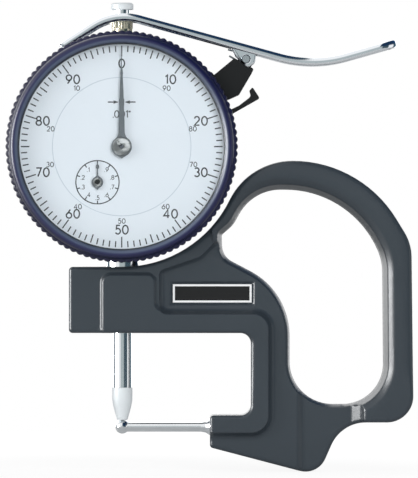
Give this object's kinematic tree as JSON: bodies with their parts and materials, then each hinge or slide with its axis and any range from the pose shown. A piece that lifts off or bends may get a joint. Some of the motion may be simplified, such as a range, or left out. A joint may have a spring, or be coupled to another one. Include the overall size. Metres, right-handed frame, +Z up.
{
  "type": "tube thickness gauge",
  "caption": "Hand-held tube wall gauge: dial indicator with a lifting lever in a cast C-frame with a loop handle, measuring between a spindle and a ball-ended anvil.",
  "frame": {"origin": "measuring point, the top of the anvil's ball on the spindle's axis", "axes": "+X towards the handle, +Y away from the dial's reader, +Z up along the spindle"},
  "size_m": [0.1002, 0.0237, 0.1156],
  "materials": {
    "frame_paint": "semi-gloss paint on a casting",
    "label": "black with a bare silver edge",
    "hard_steel": "ground and polished",
    "black_steel": "blackened",
    "case_alloy": "satin",
    "bronze": "plain",
    "rubber": "plain",
    "steel": "turned",
    "bezel_paint": "satin navy",
    "crystal": "clear",
    "black_plastic": "matt",
    "dial_white": "printed on a bluish white ground",
    "pointer_grey": "painted",
    "brass": "plain",
    "spring_steel": "drawn wire",
    "chrome": "plated sheet"
  },
  "bodies": {
    "gauge": {"frame": "frame_paint", "label_plate": "label", "anvil": "hard_steel", "anvil_set_screw": "black_steel", "stem_set_screw": "black_steel", "case": "case_alloy", "stem": "hard_steel", "stem_bush": "bronze", "upper_bush": "case_alloy", "back_gasket": "rubber", "back_cover": "case_alloy", "back_cover_screws": "steel", "bezel_o_ring": "rubber", "inner_dial": "dial_white", "hairspring_stud": "brass", "main_plate": "brass", "front_plate": "brass", "plate_pillars": "steel", "plate_screws": "steel", "pinion_cock": "brass", "cock_pillars": "steel", "guide_rail": "steel", "rail_screws": "steel", "return_spring": "spring_steel", "lever_pin": "steel", "lever_spring": "spring_steel", "lever_bracket": "black_plastic", "bracket_screws": "black_steel", "clamp_screw": "steel"},
    "spindle": {"spindle": "hard_steel", "contact_point": "hard_steel", "spindle_cap": "hard_steel", "guide_pin": "steel", "spring_collar": "steel"},
    "rack_train": {"rack_arbor": "brass", "drive_gear": "brass", "counter_pointer": "pointer_grey"},
    "centre_train": {"centre_arbor": "brass", "main_pointer": "pointer_grey", "pointer_hub": "steel"},
    "takeup": {"takeup_gear": "brass", "hairspring": "spring_steel"},
    "lever": {"lift_lever": "chrome"},
    "bezel": {"bezel": "bezel_paint", "crystal": "crystal", "crystal_ring": "black_plastic", "dial_ring": "dial_white"},
    "clamp": {"bezel_clamp": "black_steel"}
  },
  "joints": [
    {"name": "spindle_slide", "type": "slide", "parent": "gauge", "child": "spindle", "axis": [0, 0, 1], "range_m": [0, 0.01016], "stiffness_N_per_m": 25, "springref_m": -0.03, "deforming": ["return_spring"]},
    {"name": "rack_spin", "type": "hinge", "parent": "gauge", "child": "rack_train", "pos_m": [-0.00594, 0, 0.05857], "axis": [0, 1, 0], "range_deg": [-145, 1]},
    {"name": "pointer_spin", "type": "hinge", "parent": "gauge", "child": "centre_train", "pos_m": [0, 0, 0.0673], "axis": [0, 1, 0], "range_deg": [-5, 1445]},
    {"name": "takeup_spin", "type": "hinge", "parent": "gauge", "child": "takeup", "pos_m": [0.00632, 0, 0.06958], "axis": [0, 1, 0], "range_deg": [-241, 1]},
    {"name": "lever_lift", "type": "hinge", "parent": "gauge", "child": "lever", "pos_m": [0.0305, 0, 0.08894], "axis": [0, 1, 0], "range_deg": [0, 20.7]},
    {"name": "bezel_turn", "type": "hinge", "parent": "gauge", "child": "bezel", "pos_m": [0, 0, 0.0673], "axis": [0, 1, 0], "continuous": true},
    {"name": "clamp_turn", "type": "hinge", "parent": "gauge", "child": "clamp", "pos_m": [0.02623, 0, 0.07557], "axis": [0, 1, 0], "range_deg": [0, 20]}
  ],
  "couplings": [
    {"joint": "rack_spin", "follows": "spindle_slide", "rad_per_m": -247.37},
    {"joint": "pointer_spin", "follows": "spindle_slide", "rad_per_m": 2473.7},
    {"joint": "takeup_spin", "follows": "spindle_slide", "rad_per_m": -412.28},
    {"joint": "lever_lift", "follows": "spindle_slide", "rad_per_m": 35.5}
  ]
}
